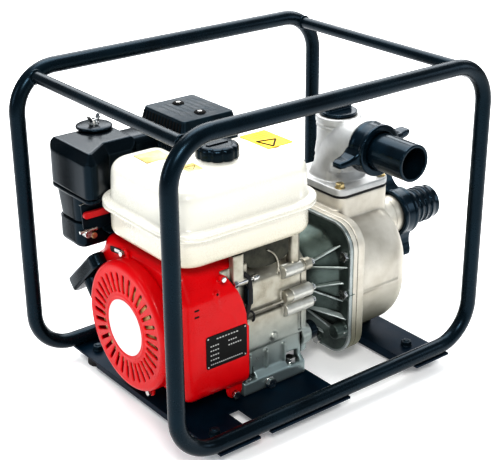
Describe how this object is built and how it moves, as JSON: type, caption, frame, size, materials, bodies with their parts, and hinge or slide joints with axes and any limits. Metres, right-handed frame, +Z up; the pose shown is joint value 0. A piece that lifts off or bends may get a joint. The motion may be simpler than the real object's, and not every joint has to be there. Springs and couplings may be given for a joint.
{
  "type": "portable fire pump",
  "caption": "Engine-driven self-priming water pump in a black tube carrying frame, with red recoil starter, white fuel tank and two-inch hose couplings.",
  "frame": {"origin": "on the floor under the middle of the whole pump, hose tails included", "axes": "+X from the recoil starter along the crankshaft to the suction hose tail, +Y away from the discharge hose tail, +Z up"},
  "size_m": [0.5994, 0.3612, 0.4426],
  "materials": {
    "frame_paint": "gloss black powder coat",
    "plate_paint": "satin black paint",
    "rubber": "matt",
    "zinc": "bright zinc plate",
    "cast_aluminium": "die cast, fine blasted",
    "pump_aluminium": "sand cast",
    "red_paint": "gloss red paint",
    "white_paint": "gloss cream white paint",
    "black_plastic": "moulded, semi matt",
    "coupling_plastic": "moulded nylon, semi gloss",
    "black_steel": "heat resisting black paint",
    "badge_white": "gloss",
    "steel": "machined",
    "iron": "as cast",
    "foam": "open foam",
    "rope": "braided",
    "red_plastic": "moulded"
  },
  "bodies": {
    "root": {"frame_loop_near": "frame_paint", "frame_loop_far": "frame_paint", "top_crossbars": "frame_paint", "engine_base_plate": "plate_paint", "pump_cross_bar": "plate_paint", "rubber_feet": "rubber", "foot_bolts": "zinc", "mounting_bolts": "zinc", "drain_plugs": "zinc", "engine_bolts": "zinc", "pump_bolts": "zinc", "crankcase": "cast_aluminium", "crankcase_cover": "cast_aluminium", "cylinder_head": "cast_aluminium", "rocker_cover": "black_steel", "spark_plug": "zinc", "spark_plug_cap": "black_plastic", "ignition_coil": "black_plastic", "fan_cover": "red_paint", "recoil_housing": "red_paint", "recoil_badge": "badge_white", "rope_guide": "black_plastic", "fuel_tank": "white_paint", "air_cleaner_base": "black_plastic", "air_filter_element": "foam", "intake_elbow": "black_plastic", "carburettor": "cast_aluminium", "control_bracket": "black_steel", "muffler": "black_steel", "muffler_guard": "black_steel", "pump_adaptor": "pump_aluminium", "pump_casing": "pump_aluminium", "shaft_seal": "rubber", "volute": "iron", "discharge_gasket": "rubber", "discharge_elbow": "pump_aluminium", "suction_flange": "pump_aluminium"},
    "crank": {"crankshaft": "steel", "flywheel": "iron", "cooling_fan": "black_plastic", "starter_cup": "black_steel", "impeller": "iron"},
    "cam": {"camshaft": "steel"},
    "piston": {"piston": "cast_aluminium"},
    "reel": {"starter_reel": "black_plastic"},
    "grip": {"starter_grip": "black_plastic", "starter_rope": "rope"},
    "fuel_cap": {"fuel_cap": "black_plastic"},
    "throttle": {"throttle_lever": "red_plastic"},
    "choke": {"choke_lever": "zinc"},
    "fuel_valve": {"fuel_valve_lever": "black_plastic"},
    "air_cover": {"air_cleaner_cover": "black_plastic"},
    "wing_nut": {"wing_nut": "zinc"},
    "oil_cap": {"oil_filler_cap": "black_plastic"},
    "priming_cap": {"priming_cap": "coupling_plastic"},
    "discharge_tail": {"discharge_tail": "coupling_plastic"},
    "discharge_nut": {"discharge_nut": "coupling_plastic"},
    "suction_tail": {"suction_tail": "coupling_plastic"},
    "suction_nut": {"suction_nut": "coupling_plastic"},
    "flap": {"check_valve_flap": "rubber"}
  },
  "joints": [
    {"name": "crank_spin", "type": "hinge", "parent": "root", "child": "crank", "pos_m": [-0.039, 0, 0.1255], "axis": [1, 0, 0], "continuous": true},
    {"name": "cam_spin", "type": "hinge", "parent": "root", "child": "cam", "pos_m": [-0.039, 0.01, 0.0786], "axis": [1, 0, 0], "continuous": true},
    {"name": "piston_stroke", "type": "slide", "parent": "root", "child": "piston", "axis": [0, -0.9063, -0.4226], "range_m": [0, 0.045]},
    {"name": "rope_pull", "type": "slide", "parent": "root", "child": "grip", "axis": [-1, 0, 0], "range_m": [0, 0.4]},
    {"name": "reel_turn", "type": "hinge", "parent": "root", "child": "reel", "pos_m": [-0.039, 0, 0.1255], "axis": [1, 0, 0], "range_deg": [0, 420]},
    {"name": "fuel_cap_turn", "type": "hinge", "parent": "root", "child": "fuel_cap", "pos_m": [-0.122, -0.033, 0.338], "axis": [0, 0, 1], "range_deg": [0, 90]},
    {"name": "throttle_swing", "type": "hinge", "parent": "root", "child": "throttle", "pos_m": [-0.203, 0.08, 0.258], "axis": [0, -1, 0], "range_deg": [-18, 14]},
    {"name": "choke_swing", "type": "hinge", "parent": "root", "child": "choke", "pos_m": [-0.179, 0.088, 0.236], "axis": [0, -1, 0], "range_deg": [-20, 0]},
    {"name": "fuel_valve_turn", "type": "hinge", "parent": "root", "child": "fuel_valve", "pos_m": [-0.161, 0.09, 0.19], "axis": [0, -1, 0], "range_deg": [0, 40]},
    {"name": "air_cover_lift", "type": "slide", "parent": "root", "child": "air_cover", "axis": [0, 0, 1], "range_m": [0, 0.06]},
    {"name": "wing_nut_turn", "type": "hinge", "parent": "air_cover", "child": "wing_nut", "pos_m": [-0.189, 0.15, 0.343], "axis": [0, 0, 1], "continuous": true},
    {"name": "oil_cap_turn", "type": "hinge", "parent": "root", "child": "oil_cap", "pos_m": [-0.008, -0.074, 0.07], "axis": [1, 0, 0], "range_deg": [0, 720]},
    {"name": "priming_cap_turn", "type": "hinge", "parent": "root", "child": "priming_cap", "pos_m": [0.111, 0, 0.338], "axis": [0, 0, 1], "range_deg": [0, 720]},
    {"name": "discharge_tail_pull", "type": "slide", "parent": "root", "child": "discharge_tail", "axis": [0, -1, 0], "range_m": [0, 0.0093]},
    {"name": "discharge_nut_turn", "type": "hinge", "parent": "discharge_tail", "child": "discharge_nut", "pos_m": [0.111, -0.06, 0.307], "axis": [0, -1, 0], "range_deg": [0, 1440]},
    {"name": "suction_tail_pull", "type": "slide", "parent": "root", "child": "suction_tail", "axis": [1, 0, 0], "range_m": [0, 0.0093]},
    {"name": "suction_nut_turn", "type": "hinge", "parent": "suction_tail", "child": "suction_nut", "pos_m": [0.221, 0, 0.159], "axis": [1, 0, 0], "range_deg": [0, 1440]},
    {"name": "flap_swing", "type": "hinge", "parent": "root", "child": "flap", "pos_m": [0.1505, 0, 0.193], "axis": [0, 1, 0], "range_deg": [0, 35]}
  ],
  "couplings": [
    {"joint": "cam_spin", "follows": "crank_spin", "ratio": -0.5},
    {"joint": "reel_turn", "follows": "rope_pull", "rad_per_m": 18.182},
    {"joint": "discharge_tail_pull", "follows": "discharge_nut_turn", "m_per_rad": 0.00036749},
    {"joint": "suction_tail_pull", "follows": "suction_nut_turn", "m_per_rad": 0.00036749}
  ]
}
